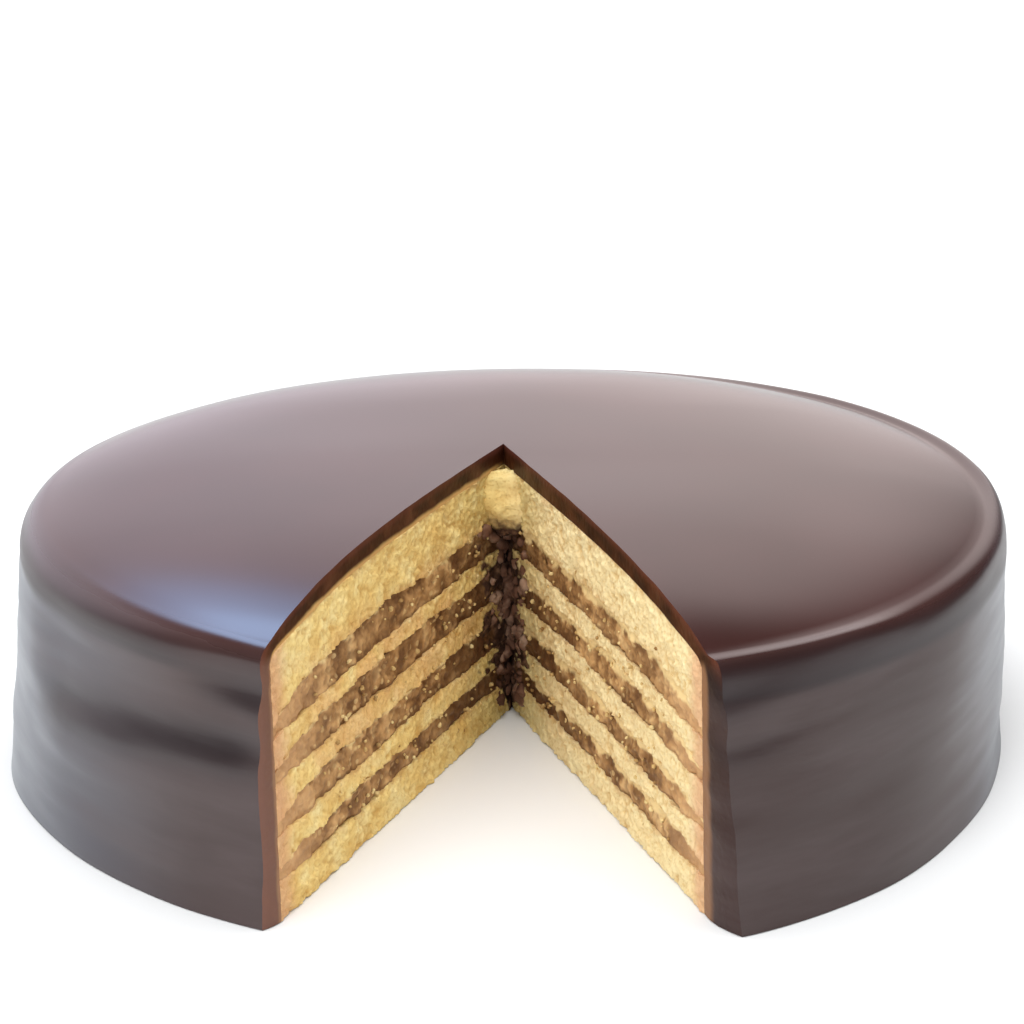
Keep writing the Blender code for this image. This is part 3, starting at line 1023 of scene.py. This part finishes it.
# Dark cream lumps in the corner at the tip; their darkness is partly painted shade of the deep corner
lumpLook = {
    "names": ("lump", "cake_dark_crumbs", "dark crumb"),
    "count": 110,
    "seed": 23,
    "model": (2, 0.4, 1.7, 5.0),
    "radius": (0.0011, 0.0027),
    "smaller": 0.45,          # at the far end of the reach
    "uneven": (0.7, 1.25),
    "reach": 0.0150,
    "footShare": 0.45,
    "crowding": 1.3,
    "fromTip": 0.0008,
    "heights": (0.004, 0.0505),
    "standsOut": -0.25,
    "sharpOver": 180,
    "grain": {"Size": 700.0, "Roughness": 0.7},
    "shades": ((0.34, (0.075, 0.030, 0.016)), (0.50, (0.17, 0.080, 0.048)), (0.64, (0.38, 0.24, 0.16))),
    "surface": {"roughness": 0.75, "gloss": 0.25, "bump": (0.5, 0.0005)},
}


def crumbModel(name, divisions, unevenness=0.0, fineness=1.0, seed=0.0):
    # an uneven ball one metre in radius, set to size where it is copied
    deselectAll()
    bpy.ops.mesh.primitive_ico_sphere_add(subdivisions=divisions, radius=1.0, location=(0, 0, 0))
    model = bpy.context.object
    model.name = name
    for vertex in model.data.vertices:
        lump = noise.noise(vertex.co * fineness + Vector((seed, 0, 0)))
        vertex.co = vertex.co * (1 + unevenness * lump)
    return model


def placeCopy(model, place, radii, turn):
    crumb = model.copy()
    crumb.data = model.data.copy()
    crumb.location = place
    crumb.scale = radii
    crumb.rotation_euler = turn
    bpy.context.scene.collection.objects.link(crumb)
    return crumb


def joinCopies(copies, model, name, material, degrees):
    deselectAll()
    for crumb in copies:
        crumb.select_set(True)
    bpy.context.view_layer.objects.active = copies[0]
    if len(copies) > 1:
        bpy.ops.object.join()
    joined = bpy.context.object
    bpy.ops.object.transform_apply(location=True, rotation=True, scale=True)
    joined.name = name
    joined.data.name = name
    joined.data.materials.append(material)
    bpy.data.objects.remove(model)
    smoothShading(joined, degrees)
    return joined


def onCutFace(side, length, z, outward):
    direction = rightDirection if side > 0 else leftDirection
    x, y = fromTip(direction, length)
    x = x + outward * math.cos(direction) * side + cake["roundCentre"][0]
    y = y - outward * math.sin(direction) * side + cake["roundCentre"][1]
    return Vector((x, y, z))


def looseMaterial(name, look):
    material, tree, shader, crumb, base = crumbMaterial(name, look)
    tree.links.new(base, shader.inputs["Base Color"])
    return material


def scattered(look, placeOne):
    modelName, pieceName, finishName = look["names"]
    chance = random.Random(look["seed"])
    model = crumbModel(modelName, *look["model"])
    copies = []
    for number in range(look["count"]):
        side, length, z, radius = placeOne(look, chance)
        radii = [radius * chance.uniform(*look["uneven"]) for axis in range(3)]
        turn = [chance.uniform(0, math.tau) for axis in range(3)]
        place = onCutFace(side, length, z, radius * look["standsOut"])
        copies.append(placeCopy(model, place, radii, turn))
    finish = looseMaterial(finishName, look)
    return joinCopies(copies, model, pieceName, finish, look["sharpOver"])


def crumbPlace(look, chance):
    side = chance.choice((-1, 1))
    near, far = look["fromTip"]
    length = near + (far - near) * chance.random() ** look["crowding"]
    x, y = fromTip(rightDirection if side > 0 else leftDirection, length)
    seam = chance.choice((1, 3, 5, 7))
    along = chance.gauss(*look["height"])
    level = seamShares[seam] + (seamShares[seam + 1] - seamShares[seam]) * along
    z = float(leaned(level * dome(float(shareOfRim(x, y))), x))
    return side, length, z, chance.uniform(*look["radius"])


def lumpPlace(look, chance):
    side = chance.choice((-1, 1))
    z = chance.uniform(*look["heights"])
    width = look["footShare"] + (1 - look["footShare"]) * z / look["heights"][1]
    length = look["reach"] * width * chance.random() ** look["crowding"] + look["fromTip"]
    radius = chance.uniform(*look["radius"]) * (1 - look["smaller"] * length / look["reach"])
    return side, length, z, radius


def makeKnob():
    look = knobLook
    knob = crumbModel("knob", look["divisions"])
    middle = (rightDirection + leftDirection) / 2 + math.pi
    x, y = fromTip(middle, look["out"])
    centre = Vector((x + cake["roundCentre"][0] + look["aside"], y + cake["roundCentre"][1],
                     look["height"]))
    standing = placeCopy(knob, centre, look["radii"], (0, 0, 0))
    for vertex in standing.data.vertices:
        lump = sum(noise.noise(vertex.co * fineness) * size for fineness, size in look["lumps"])
        vertex.co = vertex.co * (1 + lump)
    piece = joinCopies([standing], knob, "cake_corner_crumb", finishes["sponge"], look["sharpOver"])
    foot = cake["centreHeight"] * seamShares[-2]
    up = np.array([vertex.co.z for vertex in piece.data.vertices])
    # painted shade under the knob: its lower part takes the dark smear's colour
    high, low = look["shadedBelow"]
    keepValues(piece, smear=look["smear"] * smooth(foot + high, foot + low, up),
               **{name: np.full(len(up), value) for name, value in look["values"].items()})
    return piece


for piece, kind in ((scattered(crumbLook, crumbPlace), "sponge"), (makeKnob(), "sponge"),
                    (scattered(lumpLook, lumpPlace), "cream")):
    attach(piece, "root")
print("crumbs made")


# Floor and light
floorLook = {"size": 8.0, "height": -0.0002, "colour": (0.81, 0.81, 0.81, 1.0), "roughness": 0.8}


def makeFloor():
    deselectAll()
    bpy.ops.mesh.primitive_plane_add(size=floorLook["size"], location=(0, 0, floorLook["height"]))
    floor = bpy.context.object
    floor.name = "floor"
    material, tree, shader = newMaterial("pale floor")
    shader.inputs["Base Color"].default_value = floorLook["colour"]
    shader.inputs["Roughness"].default_value = floorLook["roughness"]
    floor.data.materials.append(material)


# The studio: soft light all round for the colours. What the glaze mirrors is brighter low
# down behind the cake, with a bluish window on the left, and dark overhead and on the near side
studio = {
    "fill": (0.86, 0.86, 0.86),
    "backLeft": (1.35, 1.24, 1.36),
    "backRight": (1.46, 1.28, 1.25),
    "backTurns": (-0.20, 0.15),
    "dark": (0.060, 0.052, 0.055),
    "low": (0.71, 0.55),          # height of a direction, 0 level and 1 straight up
    "back": (-0.15, 0.45),        # how far a direction points away from the camera
    "right": (0.52, 0.22),
    "window": {"towards": (-0.255, 0.60, 0.76), "ends": (0.952, 0.993), "colour": (2.05, 2.85, 4.4)},
    "core": {"towards": (-0.262, 0.535, 0.80), "ends": (0.981, 0.997), "colour": (4.3, 6.3, 9.8)},
}
# Square lamps that the glaze doesn't mirror
lamps = {
    "left front": {"place": (-0.8, -1.2, 0.9), "aim": (0, 0, 0.03), "size": 0.9, "power": 8.0,
                   "colour": (0.97, 0.99, 1.0)},
    "overhead": {"place": (0.0, 0.5, 2.2), "aim": (0.0, 0.5, 0.0), "size": 3.0, "power": 42.0,
                 "colour": (0.98, 0.99, 1.0)},
    "over the wedge": {"place": (0.0, -0.30, 1.15), "aim": (0.0, -0.04, 0.0), "size": 0.4,
                       "power": 3.4, "colour": (0.95, 0.98, 1.0)},
}


def makeWorld():
    world = bpy.data.worlds.new("studio")
    world.use_nodes = True
    tree = world.node_tree
    background = tree.nodes["Background"]
    places = addNode(tree, "ShaderNodeTexCoord")
    split = addNode(tree, "ShaderNodeSeparateXYZ")
    tree.links.new(places.outputs["Generated"], split.inputs["Vector"])
    low = between(tree, split.outputs["Z"], studio["low"])
    back = between(tree, split.outputs["Y"], studio["back"])
    right = between(tree, split.outputs["X"], studio["right"])
    bright = times(tree, times(tree, low, back), right)
    across = between(tree, split.outputs["X"], studio["backTurns"])
    backColour = mixColour(tree, across, studio["backLeft"], studio["backRight"])
    mirrored = mixColour(tree, bright, studio["dark"], backColour)
    for spot in (studio["window"], studio["core"]):
        towards = addNode(tree, "ShaderNodeVectorMath", operation="DOT_PRODUCT")
        tree.links.new(places.outputs["Generated"], towards.inputs[0])
        towards.inputs[1].default_value = Vector(spot["towards"]).normalized()
        near = between(tree, towards.outputs["Value"], spot["ends"])
        mirrored = mixColour(tree, near, mirrored, spot["colour"])
    glossy = addNode(tree, "ShaderNodeLightPath").outputs["Is Glossy Ray"]
    colour = mixColour(tree, glossy, studio["fill"], mirrored)
    tree.links.new(colour, background.inputs["Color"])
    background.inputs["Strength"].default_value = 1.0
    bpy.context.scene.world = world


def makeLamp(name, look):
    lamp = bpy.data.lights.new(name, "AREA")
    lamp.shape = "RECTANGLE"
    lamp.size = lamp.size_y = look["size"]
    lamp.energy = look["power"]
    lamp.color = look["colour"]
    light = bpy.data.objects.new(name, lamp)
    bpy.context.scene.collection.objects.link(light)
    light.location = look["place"]
    away = Vector(look["aim"]) - Vector(look["place"])
    light.rotation_euler = away.to_track_quat("-Z", "Y").to_euler()
    light.visible_glossy = False


makeFloor()
makeWorld()
for name, look in lamps.items():
    makeLamp(name, look)
bpy.context.scene.view_settings.view_transform = "Standard"
print("floor and light set")
